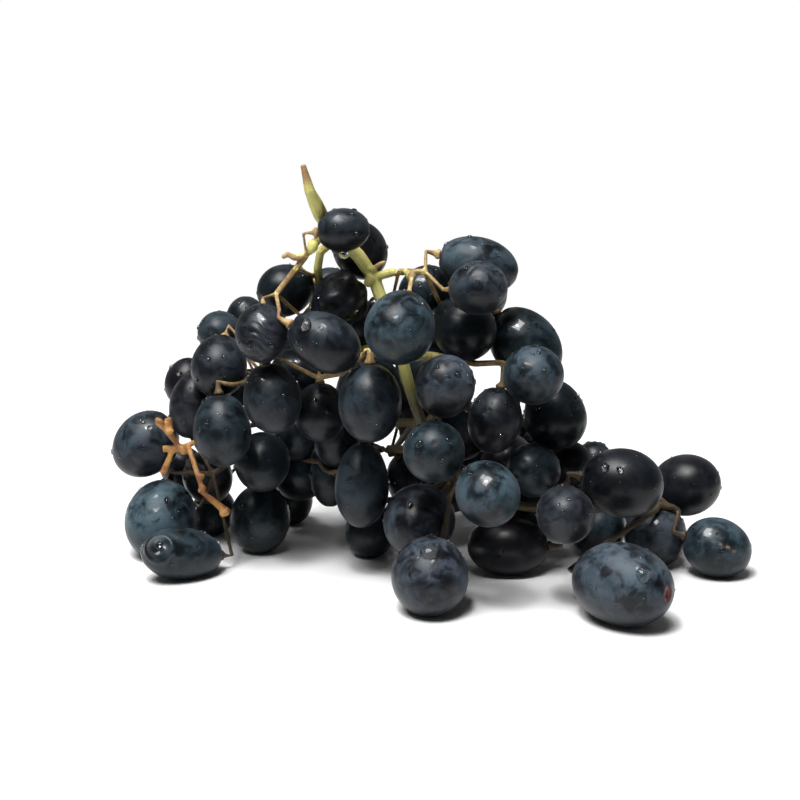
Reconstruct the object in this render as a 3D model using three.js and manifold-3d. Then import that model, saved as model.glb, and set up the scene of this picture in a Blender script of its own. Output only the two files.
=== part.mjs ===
// A bunch of black table grapes, lying on a table as picked.
// One stem, with its cut end, branches and a bared twig, carries sprays of oval berries on short stalks.
// Millimetres, +Z up, +Y away from the front, origin on the table under the middle of the bunch.
import * as THREE from "three";
import { mergeVertices } from "three/addons/utils/BufferGeometryUtils.js";
import Module from "manifold-3d";

const wasm = await Module();
wasm.setup();

// Driving dimensions

// Places are read from the front: mm across and mm up on an upright picture plane, and mm of depth behind it.
const SIGHT_DISTANCE = 600;
const SIGHT_ELEVATION = THREE.MathUtils.degToRad(15);
const SIGHT_ACROSS = -9.9; // the sight line to the middle of the picture meets the plane here
const SIGHT_UP = 54;

const PLUMPNESS = 1.16; // true length over width of a berry that is seen end on
const BERRY_GAP = 0.4; // clear space between neighbouring berries
const TABLE_FLAT = 0.7; // how far the table flattens a berry that rests on it
const BERRY_SIDES = 9;
const BERRY_RINGS = 6;

const CUT_END_RADIUS = 0.7;
const PEDUNCLE_RADIUS = 2.1;
const RACHIS_END_RADIUS = 1.1;
const BRANCH_RADIUS = 1.3;
const SPINE_RADIUS = 0.9;
const STALK_SHARE = 0.075; // a stalk's radius as a share of its berry's half width
const STALK_CAP_RADIUS = 1.6; // the flare where a stalk meets its berry
const STALK_CAP_LENGTH = 1.5;
const STALK_ROOT = 1.5; // how deep the end of a stalk sits in its berry
const STALK_LEAD = 2.2; // a stalk comes in along the berry's axis over this length
const STALK_LEAD_SHARE = 0.35; // or over this share of a short stalk
const TWIG_RADIUS = 0.7;
const TWIG_TIP_RADIUS = 1.1;
const TWIG_TIP_SHARE = 0.15; // the last part of a bared twig is a knob
const STEM_GAP = 0.55; // clear space between a stem and what it only passes
const SPINE_GAP = 1.1; // clear space between a branch and the spine of the spray that it carries

const HIDDEN_BERRIES = 42;
const HIDDEN_TRIES = 30000;
const HIDDEN_HALF_WIDTH = [7.6, 9.6];
const HIDDEN_STRETCH = [1.1, 1.3];
const HIDDEN_SEED = 417;
const MOUND_HALF = new THREE.Vector3(92, 64, 104); // half sizes of the heap round the origin
const MOUND_FRONT = -0.3; // hidden berries start this share of the depth in front of the middle

// Gaps that light shines through: [across, up, radius]
const WINDOWS = [
  [16.5, 60.9, 4.2],
  [-28.2, 15.6, 2.5],
  [35.7, 5.7, 2.5],
];

// The bunch's outline as seen, which the hidden berries keep inside: [across, up]
const OUTLINE = [
  [-34.5, 107.4], [-27, 111.9], [-18.3, 105.6], [-13.5, 96.6], [-6.3, 95.4], [3.6, 100.2], [12.6, 102.6],
  [25.2, 93], [22.5, 84], [33.6, 79.5], [39.3, 66], [39.3, 58.5], [45.9, 48], [44.1, 40.2], [65.1, 36.6],
  [77.1, 37.2], [86.4, 28.5], [84.6, 18.9], [95.1, 9], [90.6, 0.9], [65.1, 0.9], [39.6, 6], [29.1, 0.9],
  [-11.4, 0.9], [-24.9, 7.2], [-36, 11.4], [-51.3, 7.8], [-65.4, 1.5], [-84.9, 2.4], [-94.8, 39],
  [-81, 51.6], [-79.8, 61.5], [-70.2, 76.5], [-52.5, 88.5], [-44.4, 95.1], [-36.3, 94.5],
];

const REST = null; // the depth of a berry that rests on the table follows from its height

// The main stem from the cut end down into the bunch and out along its tail: [across, up, depth]
const RACHIS = [
  [-39, 124.5, 0],
  [-36.9, 117, 0],
  [-34.5, 112.2, 3],
  [-30.3, 105, 14],
  [-23.4, 98.4, 14],
  [-18.3, 91.8, 11],
  [-15.6, 84, 9],
  [-10.8, 72, 8],
  [-7.2, 58.2, 4],
  [-2.7, 45, 4],
  [5.7, 33, 5],
  [20.1, 23.4, 7],
  [35.1, 21.6, 7],
  [50.1, 21.6, 10],
  [63.6, 20.4, 12],
];

// Sprays. branch: its route from the rachis, as [across, up, depth].
// bare: the share of the branch that carries no berries.
// A berry is [across, up, half length as seen, half width, where its free end points in degrees, depth],
// with its true length over its width added where that is more than usual.
const SPRAYS = {
  crown: {
    branch: [[-33.9, 103.2, 9], [-38.4, 96.9, 6], [-42.6, 91.8, 5], [-47.1, 85.8, 4]],
    bare: 0.4,
    berries: [
      [-27, 105, 8.1, 6.6, 5, 4],
      [-51.3, 74.1, 9, 8.1, 270, -2],
      [-27.9, 83.1, 8.7, 7.8, 60, 14],
      [-32.7, 71.4, 11.7, 8.7, -28, -6],
      [-44.1, 87, 8.7, 7.8, 200, 18],
    ],
  },
  right_top: {
    branch: [[-13.5, 92.4, 9], [-8.7, 92.4, 7], [-2.4, 92.4, 5]],
    bare: 0.4,
    berries: [
      [-9.9, 75.9, 11.4, 10.5, 255, -12],
      [13.5, 87.6, 8.9, 8.1, 0, -6],
      [13.5, 94.5, 12.3, 8.4, -15, 14],
      [-2.4, 87, 8.4, 7.2, 30, 22],
      [9, 75.6, 10.2, 9.3, -45, 10],
    ],
  },
  right_shoulder: {
    branch: [[-0.9, 67.5, 18], [8.4, 66.6, 12], [17.1, 65.7, 4], [21, 65.1, 2]],
    bare: 0.5,
    berries: [
      [30, 61.5, 9.1, 9, 0, -8],
      [27.6, 70.5, 12.6, 9.9, -48, 12],
      [36.6, 49.5, 10.8, 9.3, 285, 4],
      [18.6, 48, 10.2, 8.1, 260, -2],
    ],
  },
  left_wing: {
    branch: [[-34.5, 98.4, 15], [-37.5, 90.6, 17], [-39.3, 81, 22], [-44.4, 70.5, 24], [-53.4, 61.5, 24]],
    bare: 0.5,
    berries: [
      [-64.2, 64.2, 9.6, 8.4, 260, 10],
      [-63.9, 74.1, 6.7, 6.6, 180, 24],
      [-56.1, 78, 7.2, 6, 90, 40],
      [-74.1, 59.4, 7.5, 6.3, 70, 34],
      [-72, 52.5, 10.2, 7.2, 260, 22],
      [-63.3, 45, 11.1, 8.7, 275, 8],
    ],
  },
  left_foot: {
    branch: [[-15.9, 47, 18], [-30.9, 46, 32], [-45.9, 42, 34], [-57, 37, 27], [-66, 32, 24]],
    bare: 0.65,
    berries: [
      [-86.1, 40.8, 10.8, 9.3, 225, 28],
      [-81.6, 18, 12, 10.7, 260, REST],
      [-75.3, 7.8, 11.9, 7.9, 175, REST, 1.65],
      [-67.5, 30.6, 8.1, 7.5, 100, 34],
      [-75, 33.3, 7.2, 6.6, 120, 40],
      [-66, 20.4, 7.5, 6.6, 250, REST],
      [-51.3, 35.4, 9, 8.4, 270, 20],
      [-51.9, 18.3, 10.5, 9, 265, REST],
    ],
  },
  centre_left: {
    branch: [[-14.4, 67.5, 5], [-20.1, 68.4, 4], [-26.4, 62.4, 5], [-34.5, 60.6, 6]],
    bare: 0.4,
    berries: [
      [-18.9, 53.1, 12, 9.6, 270, -8],
      [-48.3, 54.6, 10.8, 8.7, 280, 2],
      [-33.9, 50.4, 9, 7.8, 270, 10],
      [-40.5, 62.4, 8.4, 7.2, 180, 16],
    ],
  },
  centre_foot: {
    branch: [[-6.9, 39, 8], [-14.4, 39.4, 10], [-24.9, 39, 16], [-32.4, 36.6, 22]],
    bare: 0.4,
    berries: [
      [-21.3, 28.5, 12.9, 8.1, 268, 4],
      [-39.9, 32.4, 8.5, 8.4, 270, 34],
      [-28.8, 41.1, 7.5, 6.9, 90, 20],
      [-41.1, 43.2, 7.5, 6.9, 90, 22],
      [-30.9, 31.5, 9.6, 6, 270, 24],
      [-18.9, 15, 8.4, 7.5, 270, REST],
      [-42.3, 18.6, 7.8, 6.3, 270, REST],
    ],
  },
  front: {
    branch: [[5.7, 30.6, -2], [5.1, 25.5, -8]],
    bare: 0.3,
    berries: [
      [0.3, 38.4, 9.4, 9.3, 90, -20],
      [16.2, 26.1, 10.2, 9.6, -60, -26],
      [-4.2, 17.7, 11.1, 10.8, 240, -20],
      [-0.9, 1.2, 12, 11.6, 270, REST],
      [3.6, 57.9, 9.6, 9, 80, -14],
    ],
  },
  tail: {
    branch: [[36.9, 26.4, 2], [40.5, 29.4, 4]],
    bare: 0.3,
    berries: [
      [39.6, 19.8, 8.9, 8.6, 300, -22],
      [30, 33, 8.4, 8.1, 150, 0],
      [22.5, 10.2, 12.3, 9, 180, REST],
      [49.2, 12.9, 9, 8.7, 270, REST],
      [41.1, 34.5, 7.2, 6.6, 90, 18],
      [56.7, 29.1, 12.6, 10.5, -10, -4],
      [47.7, 35.1, 6.6, 6, 60, 18],
    ],
  },
  tail_end: {
    branch: [[68.1, 20.4, 14], [72.6, 19.5, 14]],
    bare: 0.3,
    berries: [
      [75.9, 28.5, 10.3, 9.3, 10, 12],
      [66.6, 10.2, 9.6, 9.3, 250, REST],
      [85.2, 9.6, 10.5, 9, -20, REST],
      [56.9, -1.5, 15, 12.6, -12, REST, 1.35],
    ],
  },
  back_top: {
    branch: [[-18.9, 90, 20], [-14.4, 84, 30], [-9.9, 78, 38]],
    bare: 0.4,
    berries: [
      [-21.9, 99, 9, 8.1, 120, 26],
      [-30.3, 87, 7.2, 6.6, 160, 38],
      [-21, 77.4, 6.6, 6, 250, 26],
    ],
  },
  back_left: { branch: [[-21.9, 69, 22], [-33.9, 63, 32], [-45.9, 57, 38]], bare: 0.4, berries: [] },
  back_middle: { branch: [[-5.4, 46.5, 18], [-9.9, 42, 32], [-12.9, 37.5, 42]], bare: 0.4, berries: [] },
  back_right: { branch: [[5.1, 54, 20], [17.1, 48, 28], [29.1, 45, 32]], bare: 0.4, berries: [] },
  back_foot: { branch: [[-0.9, 27, 18], [-12.9, 24, 30], [-27.9, 22.5, 38]], bare: 0.4, berries: [] },
  back_tail: { branch: [[36.6, 27, 20], [42.6, 28.5, 30]], bare: 0.3, berries: [] },
};

// Twigs that have lost their berries, on the branch to the left foot: [across, up, depth]
const BARED_TWIGS = [
  [
    [-46, 42, 34], [-56, 46, 27], [-64.5, 43.2, 23], [-72, 41.1, 16],
    [-75.9, 39.9, 14], [-78.9, 44.4, 13], [-82.8, 47.7, 12],
  ],
  [[-78.9, 44.4, 13], [-79.5, 48.6, 14]],
  [[-75.9, 39.9, 14], [-81, 39.3, 13]],
  [[-75.9, 39.9, 14], [-78.3, 38.4, 13], [-81, 31.8, 12]],
  [[-73.5, 39.6, 13.5], [-70.8, 32.4, 10], [-69, 26.4, 8], [-66.9, 24, 8], [-61.2, 20.1, 8]],
];

const SKIN = new THREE.MeshStandardMaterial({ color: 0x171b27, roughness: 0.4, metalness: 0 });
const STEM = new THREE.MeshStandardMaterial({ color: 0x98903f, roughness: 0.65, metalness: 0 });

// Sight lines

const RIGHT = new THREE.Vector3(1, 0, 0);
const UPWARD = new THREE.Vector3(0, Math.sin(SIGHT_ELEVATION), Math.cos(SIGHT_ELEVATION));
const TOWARD = new THREE.Vector3(0, -Math.cos(SIGHT_ELEVATION), Math.sin(SIGHT_ELEVATION));
const EYE = onPlane(SIGHT_ACROSS, SIGHT_UP).addScaledVector(TOWARD, SIGHT_DISTANCE);

function onPlane(across, up) {
  return new THREE.Vector3().addScaledVector(RIGHT, across).addScaledVector(UPWARD, up);
}

// How large a thing at some depth really is, against how large it looks on the plane.
function trueScale(across, up, depth) {
  return (depth - EYE.y) / (onPlane(across, up).y - EYE.y);
}

function seenAt(across, up, depth) {
  return EYE.clone().lerp(onPlane(across, up), trueScale(across, up, depth));
}

function asSeen(point) {
  const sight = point.clone().sub(EYE);
  const scale = -sight.dot(TOWARD) / SIGHT_DISTANCE;
  return { across: SIGHT_ACROSS + sight.dot(RIGHT) / scale, up: SIGHT_UP + sight.dot(UPWARD) / scale, scale };
}

// Berries: each is a spheroid with a centre, an axis to its free end, half its length and half its width.

function readBerry([across, up, seenLong, seenWide, turn, , plumpness = PLUMPNESS], depth) {
  const scale = trueScale(across, up, depth);
  const wide = seenWide * scale;
  const long = Math.max(seenLong * scale, wide * plumpness);
  const level = Math.sqrt(((seenLong * scale) ** 2 - wide ** 2) / (long ** 2 - wide ** 2));
  const angle = THREE.MathUtils.degToRad(turn);
  const axis = new THREE.Vector3()
    .addScaledVector(RIGHT, Math.cos(angle) * level)
    .addScaledVector(UPWARD, Math.sin(angle) * level)
    .addScaledVector(TOWARD, Math.sqrt(Math.max(0, 1 - level ** 2)))
    .normalize();
  return { centre: seenAt(across, up, depth), axis, long, wide };
}

function lowestPoint({ centre, axis, long, wide }) {
  return centre.z - Math.sqrt(wide ** 2 + (long ** 2 - wide ** 2) * axis.z ** 2);
}

// A berry sinks no further into the table than the table flattens it.
function liftToTable(berry) {
  berry.centre.z += Math.max(0, -TABLE_FLAT - lowestPoint(berry));
  return berry;
}

const MIX_RANGE = [0.05, 0.95];
const MIX_STEPS = 18;

// The square of the swelling at which two spheroids would touch, for one mix of their shapes.
function swellingAt(a, b, mix) {
  const between = b.centre.clone().sub(a.centre);
  const [wideA, wideB] = [(a.wide + BERRY_GAP / 2) ** 2, (b.wide + BERRY_GAP / 2) ** 2];
  const [moreA, moreB] = [(a.long + BERRY_GAP / 2) ** 2 - wideA, (b.long + BERRY_GAP / 2) ** 2 - wideB];
  const round = (1 - mix) * wideA + mix * wideB;
  const [alongA, alongB, cross] = [between.dot(a.axis), between.dot(b.axis), a.axis.dot(b.axis)];
  const m = round / ((1 - mix) * moreA) + 1;
  const n = round / (mix * moreB) + 1;
  const stretched = (n * alongA ** 2 - 2 * cross * alongA * alongB + m * alongB ** 2) / (m * n - cross ** 2);
  return (mix * (1 - mix) * (between.lengthSq() - stretched)) / round;
}

function areApart(a, b) {
  const distance = a.centre.distanceTo(b.centre);
  if (distance > a.long + b.long + BERRY_GAP) return true;
  if (distance < a.wide + b.wide) return false;
  let [low, high] = MIX_RANGE;
  for (let step = 0; step < MIX_STEPS; step++) {
    const third = (high - low) / 3;
    if (swellingAt(a, b, low + third) > swellingAt(a, b, high - third)) high -= third;
    else low += third;
  }
  return swellingAt(a, b, (low + high) / 2) > 1;
}

const SLIDE_STEP = 0.5;
const FRONT_LIMIT = -80;
const BACK_LIMIT = 80;

function startingDepth(reading) {
  if (reading[5] !== REST) return reading[5];
  let depth = FRONT_LIMIT;
  while (lowestPoint(readBerry(reading, depth)) > -TABLE_FLAT) depth += SLIDE_STEP;
  return depth;
}

// Front berries first: each next one slides back along its sight line until it is clear of those before it.
function placeSeenBerries() {
  const rows = Object.entries(SPRAYS).flatMap(([spray, { berries }]) =>
    berries.map((reading) => ({ spray, reading, depth: startingDepth(reading) })),
  );
  rows.sort((a, b) => a.depth - b.depth);
  const placed = [];
  for (const { spray, reading, depth } of rows) {
    let slid = depth;
    let berry = liftToTable(readBerry(reading, slid));
    while (slid < BACK_LIMIT && !placed.every((other) => areApart(berry, other))) {
      slid += SLIDE_STEP;
      berry = liftToTable(readBerry(reading, slid));
    }
    placed.push({ ...berry, spray, reading });
  }
  return placed;
}

// Stems: each has points along its middle, a radius at each point, and the node that owns it.

const STEM_STEP = 2;
const THREAD_ROUNDS = 100;
const SMOOTH_ROUNDS = 75;
const THREAD_SMOOTHING = 0.25;
const THREAD_PUSH = 0.6;

const blend = THREE.MathUtils.lerp;

// Under 1 where a point lies inside a berry swollen by some room.
function depthIn({ centre, axis, long, wide }, point, room) {
  const offset = point.clone().sub(centre);
  const along = offset.dot(axis);
  const aside = Math.sqrt(Math.max(0, offset.lengthSq() - along ** 2));
  return Math.hypot(along / (long + room), aside / (wide + room));
}

function pushOffBerry(point, room, berry) {
  const depth = depthIn(berry, point, room);
  if (depth >= 1) return;
  const offset = point.clone().sub(berry.centre);
  const along = offset.dot(berry.axis);
  const out = offset
    .addScaledVector(berry.axis, -along)
    .divideScalar((berry.wide + room) ** 2)
    .addScaledVector(berry.axis, along / (berry.long + room) ** 2);
  point.addScaledVector(out.normalize(), THREAD_PUSH * (1 - depth) * (berry.wide + room));
}

function pushOffStem(point, room, stem) {
  stem.points.forEach((other, i) => {
    const offset = point.clone().sub(other);
    const missing = room + stem.radii[i] - offset.length();
    if (missing > 0) point.addScaledVector(offset.normalize(), missing * THREAD_PUSH);
  });
}

// Bends a route clear of the berries and stems that it only passes. Its first and last points stay.
function threadStem(route, radiusAt, berries, stems, freeEnd = false) {
  const curve = new THREE.CatmullRomCurve3(route, false, "centripetal");
  const steps = Math.max(3, Math.ceil(curve.getLength() / STEM_STEP));
  const home = curve.getSpacedPoints(steps);
  const points = home.map((point) => point.clone());
  const radii = points.map((_, i) => radiusAt(i / steps));
  const shift = (i) => points[i].clone().sub(home[i]);
  const last = freeEnd ? steps : steps - 1;
  for (let round = 0; round < THREAD_ROUNDS; round++) {
    for (let i = 1; i <= last; i++) {
      const room = radii[i] + STEM_GAP;
      if (i < steps && round < SMOOTH_ROUNDS) {
        const evenShift = shift(i - 1).lerp(shift(i + 1), 0.5);
        points[i].lerp(home[i].clone().add(evenShift), THREAD_SMOOTHING);
      }
      for (const berry of berries) pushOffBerry(points[i], room, berry);
      for (const stem of stems) pushOffStem(points[i], room, stem);
      points[i].z = Math.max(points[i].z, room);
    }
  }
  return { points, radii };
}

const CUT_END_SHARE = 0.09;

function rachisRadius(share) {
  if (share < CUT_END_SHARE) return blend(CUT_END_RADIUS, PEDUNCLE_RADIUS, share / CUT_END_SHARE);
  return blend(PEDUNCLE_RADIUS, RACHIS_END_RADIUS, (share - CUT_END_SHARE) / (1 - CUT_END_SHARE));
}

function nearestPoint(point, points) {
  return points.reduce((best, next) => (next.distanceTo(point) < best.distanceTo(point) ? next : best));
}


function part({ points, radii }, from, to) {
  return { points: points.slice(from, to), radii: radii.slice(from, to) };
}

const ROOT_POINTS = 2; // points next to a root, which may touch what the stem grows from

// The main stem, with the first share of each branch, then the spine of each spray and the bared twigs.
function threadStems(berries) {
  const rachis = threadStem(RACHIS.map((p) => seenAt(...p)), rachisRadius, berries, [], true);
  const stems = [{ owner: "rachis", ...rachis }];
  const passed = [];
  for (const [owner, { branch, bare }] of Object.entries(SPRAYS)) {
    const route = branch.map((p) => seenAt(...p));
    route.unshift(nearestPoint(route[0], rachis.points).clone());
    const branchRadius = (share) => blend(BRANCH_RADIUS, SPINE_RADIUS, share);
    const stem = threadStem(route, branchRadius, berries, passed, true);
    passed.push(part(stem, ROOT_POINTS));
    const fork = Math.max(1, Math.round(bare * (stem.points.length - 1)));
    const spine = part(stem, fork);
    const first = spine.points[0].clone();
    spine.points[0] = first.lerp(spine.points[1], SPINE_GAP / first.distanceTo(spine.points[1]));
    stems.push({ owner: "rachis", ...part(stem, 0, fork + 1) }, { owner, ...spine });
  }
  for (const twig of BARED_TWIGS) {
    const route = twig.map((p) => seenAt(...p));
    const own = stems.filter((stem) => stem.owner === "rachis").flatMap((stem) => stem.points);
    route[0].copy(nearestPoint(route[0], own));
    const twigRadius = (share) => (share < 1 - TWIG_TIP_SHARE ? TWIG_RADIUS : TWIG_TIP_RADIUS);
    stems.push({ owner: "rachis", ...threadStem(route, twigRadius, berries, [], true) });
  }
  return stems;
}

// Hidden berries, behind those that show, from seeded draws

function seededRandom(seed) {
  let state = seed;
  return () => {
    state = (state + 0x6d2b79f5) | 0;
    let bits = Math.imul(state ^ (state >>> 15), 1 | state);
    bits = (bits + Math.imul(bits ^ (bits >>> 7), 61 | bits)) ^ bits;
    return ((bits ^ (bits >>> 14)) >>> 0) / 2 ** 32;
  };
}

const RIM_POINTS = 16;

// Counts the outline's edges to the right of a point: an odd count means that it is inside.
function isInOutline(across, up) {
  return OUTLINE.reduce((inside, [x, y], i) => {
    const [nextX, nextY] = OUTLINE[(i + 1) % OUTLINE.length];
    const crosses = y > up !== nextY > up && across < x + ((nextX - x) * (up - y)) / (nextY - y);
    return crosses ? !inside : inside;
  }, false);
}

// Hidden means inside the outline, off the gaps that light shines through, and behind all that it meets.
function isHidden(berry, seenBerries) {
  const { across, up, scale } = asSeen(berry.centre);
  const radius = berry.long / scale;
  if (WINDOWS.some(([x, y, r]) => Math.hypot(across - x, up - y) < r + radius)) return false;
  for (let i = 0; i < RIM_POINTS; i++) {
    const turn = (2 * Math.PI * i) / RIM_POINTS;
    if (!isInOutline(across + radius * Math.cos(turn), up + radius * Math.sin(turn))) return false;
  }
  return seenBerries.every((seen) => {
    const [x, y, long] = seen.reading;
    return Math.hypot(across - x, up - y) > radius + long || seen.centre.y < berry.centre.y;
  });
}

const PULL_STEP = 1;
const SHORTEST_STALK = 4;

function drawBerry(random, spines) {
  const spread = new THREE.Vector3(2 * random() - 1, blend(MOUND_FRONT, 1, random()), random());
  const centre = spread.multiply(MOUND_HALF);
  const wide = blend(...HIDDEN_HALF_WIDTH, random());
  const long = wide * blend(...HIDDEN_STRETCH, random());
  const skew = new THREE.Vector3(random() - 0.5, random() - 0.5, random() - 0.5);
  const hubs = spines.map(({ owner, points }) => ({ spray: owner, hub: nearestPoint(centre, points) }));
  const nearest = hubs.reduce((best, next) =>
    next.hub.distanceTo(centre) < best.hub.distanceTo(centre) ? next : best,
  );
  const axis = centre.clone().sub(nearest.hub).normalize().add(skew).normalize();
  return { centre, axis, long, wide, ...nearest };
}

// Each drawn berry that fits out of sight is pulled in towards its spray until it meets something.
function placeHiddenBerries(seenBerries, stems) {
  const random = seededRandom(HIDDEN_SEED);
  const spines = stems.filter(({ owner }) => owner !== "rachis");
  const placed = [...seenBerries];
  const clearOfStems = (berry) =>
    stems.every(({ points, radii }) => points.every((p, i) => depthIn(berry, p, radii[i] + STEM_GAP) >= 1));
  const fits = (berry) =>
    berry.centre.clone().divide(MOUND_HALF).length() < 1 &&
    lowestPoint(berry) > -TABLE_FLAT &&
    placed.every((other) => areApart(berry, other)) &&
    isHidden(berry, seenBerries) &&
    clearOfStems(berry);
  for (let attempt = 0; attempt < HIDDEN_TRIES; attempt++) {
    if (placed.length === seenBerries.length + HIDDEN_BERRIES) break;
    const berry = drawBerry(random, spines);
    if (!fits(berry)) continue;
    const pull = berry.hub.clone().sub(berry.centre);
    const room = pull.length() - berry.long - SHORTEST_STALK;
    pull.setLength(PULL_STEP);
    for (let moved = 0; moved < room; moved += PULL_STEP) {
      berry.centre.add(pull);
      if (fits(berry)) continue;
      berry.centre.sub(pull);
      break;
    }
    placed.push(berry);
  }
  return placed;
}

// Stalks

function threadStalk(berry, berries, stems) {
  const spine = stems.find(({ owner }) => owner === berry.spray);
  const outFromStemEnd = (length) => berry.centre.clone().addScaledVector(berry.axis, -berry.long - length);
  const neck = outFromStemEnd(STALK_CAP_LENGTH);
  const root = nearestPoint(neck, spine.points).clone();
  const leadLength = Math.min(STALK_LEAD, STALK_LEAD_SHARE * root.distanceTo(neck));
  const lead = outFromStemEnd(STALK_CAP_LENGTH + leadLength);
  const others = berries.filter((other) => other !== berry);
  const passed = stems.filter(({ owner }) => owner !== berry.spray);
  const radius = STALK_SHARE * berry.wide;
  const stalk = threadStem([root, lead], () => radius, others, passed);
  stalk.points.push(neck, outFromStemEnd(-STALK_ROOT));
  stalk.radii.push(radius, STALK_CAP_RADIUS);
  return { owner: berry.spray, ...stalk };
}

// Solids

const MERGE_DISTANCE = 1e-4;

function solidOf(geometry) {
  const bare = geometry.clone();
  bare.deleteAttribute("normal");
  bare.deleteAttribute("uv");
  const { attributes, index } = mergeVertices(bare, MERGE_DISTANCE);
  const vertProperties = attributes.position.array;
  const triVerts = new Uint32Array(index.array);
  return new wasm.Manifold(new wasm.Mesh({ numProp: 3, vertProperties, triVerts }));
}

const LENGTHWISE = new THREE.Vector3(0, 1, 0);

function berrySolid({ centre, axis, long, wide }) {
  const geometry = new THREE.SphereGeometry(1, BERRY_SIDES, BERRY_RINGS);
  geometry.scale(wide, long, wide);
  geometry.applyQuaternion(new THREE.Quaternion().setFromUnitVectors(LENGTHWISE, axis));
  geometry.translate(...centre);
  return solidOf(geometry);
}

const STRAIGHTNESS = 0.45; // a run of points this close to a straight line becomes one step

function isStraight({ points, radii }, from, to) {
  const line = new THREE.Line3(points[from], points[to]);
  for (let i = from + 1; i < to; i++) {
    const share = line.closestPointToPointParameter(points[i], true);
    const offLine = line.at(share, new THREE.Vector3()).distanceTo(points[i]);
    const offRadius = Math.abs(blend(radii[from], radii[to], share) - radii[i]);
    if (Math.max(offLine, offRadius) > STRAIGHTNESS) return false;
  }
  return true;
}

function simplified(stem) {
  const kept = [0];
  const last = stem.points.length - 1;
  while (kept.at(-1) < last) {
    let to = kept.at(-1) + 1;
    while (to < last && isStraight(stem, kept.at(-1), to + 1)) to++;
    kept.push(to);
  }
  return { points: kept.map((i) => stem.points[i]), radii: kept.map((i) => stem.radii[i]) };
}

const STEM_SIDES = 6;
const STALK_SIDES = 4;
const FIRST_NORMAL = new THREE.Vector3(0.36, 0.48, 0.8); // along no stem

// A closed cylinder bent along the stem's points, with its radius at each.
function stemSolid(stem, swelling = 0) {
  const { points, radii } = simplified(stem);
  const last = points.length - 1;
  const sides = stem.owner === "rachis" ? STEM_SIDES : STALK_SIDES;
  const geometry = new THREE.CylinderGeometry(1, 1, last, sides, last);
  const normal = FIRST_NORMAL.clone();
  const rings = points.map((point, i) => {
    const along = points[Math.min(i + 1, last)].clone().sub(points[Math.max(i - 1, 0)]).normalize();
    normal.addScaledVector(along, -normal.dot(along)).normalize();
    const binormal = along.clone().cross(normal);
    return { point, normal: normal.clone(), binormal, radius: radii[i] + swelling };
  });
  const { position } = geometry.attributes;
  for (let i = 0; i < position.count; i++) {
    const ring = rings[Math.round(last / 2 - position.getY(i))];
    const place = ring.point
      .clone()
      .addScaledVector(ring.normal, ring.radius * position.getX(i))
      .addScaledVector(ring.binormal, ring.radius * position.getZ(i));
    position.setXYZ(i, ...place);
  }
  return solidOf(geometry);
}

function pressesOn({ points, radii }, berry) {
  return points.some((point, i) => depthIn(berry, point, radii[i] + STEM_GAP / 2) < 1);
}

const LARGEST_SCRAP = 20; // cubic mm
const TABLE_WIDTH = 600;
const TABLE_DEPTH = 40;
const SEAM_TOLERANCE = 0.02; // slivers narrower than this along a seam are closed up
const TABLE_BLOCK = new THREE.BoxGeometry(TABLE_WIDTH, TABLE_WIDTH, TABLE_DEPTH);
TABLE_BLOCK.translate(0, 0, -TABLE_DEPTH / 2);

const joinAll = (solids) => solids.reduce((joined, next) => joined.add(next));

// The largest body above the table: any sealed hollow is filled and any loose scrap is dropped, but no berry.
function oneBody(name, solid) {
  const bodies = solid.subtract(solidOf(TABLE_BLOCK)).decompose();
  bodies.sort((a, b) => b.volume() - a.volume());
  if (bodies[1]?.volume() > LARGEST_SCRAP) throw new Error(`${name} falls apart`);
  return bodies[0].simplify(SEAM_TOLERANCE);
}

function meshOf(name, solid, material) {
  const { vertProperties, triVerts } = oneBody(name, solid).getMesh();
  const geometry = new THREE.BufferGeometry();
  geometry.setAttribute("position", new THREE.BufferAttribute(vertProperties, 3));
  geometry.setIndex(new THREE.BufferAttribute(triVerts, 1));
  geometry.computeVertexNormals();
  const mesh = new THREE.Mesh(geometry, material);
  mesh.name = name;
  return mesh;
}

function buildBunch() {
  const seenBerries = placeSeenBerries();
  const stems = threadStems(seenBerries);
  const berries = placeHiddenBerries(seenBerries, stems);
  for (const berry of berries) stems.push(threadStalk(berry, berries, stems));
  const stemsOf = (name) => stems.filter(({ owner }) => owner === name);
  const roomFor = (some) => joinAll(some.map((stem) => stemSolid(stem, STEM_GAP)));
  const bunch = new THREE.Group();
  bunch.add(meshOf("rachis", joinAll(stemsOf("rachis").map((stem) => stemSolid(stem))), STEM));
  const taken = stemsOf("rachis");
  for (const spray of Object.keys(SPRAYS)) {
    const own = berries.filter((berry) => berry.spray === spray);
    const stalks = stemsOf(spray);
    const others = stems.filter(({ owner }) => owner !== spray);
    const pressing = others.filter((stem) => own.some((berry) => pressesOn(stem, berry)));
    const whole = joinAll([...stalks.map((stem) => stemSolid(stem)), ...own.map(berrySolid)]);
    const room = roomFor([...new Set([...taken, ...pressing])]);
    bunch.add(meshOf(`spray_${spray}`, whole.subtract(room), SKIN));
    taken.push(...stalks);
  }
  const box = new THREE.Box3().setFromObject(bunch);
  const middle = box.getCenter(new THREE.Vector3());
  bunch.position.set(-middle.x, -middle.y, -box.min.z);
  return bunch;
}

export default buildBunch();
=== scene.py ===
import math

import bmesh
import bpy
import numpy as np
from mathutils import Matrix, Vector
from mathutils.bvhtree import BVHTree


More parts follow.
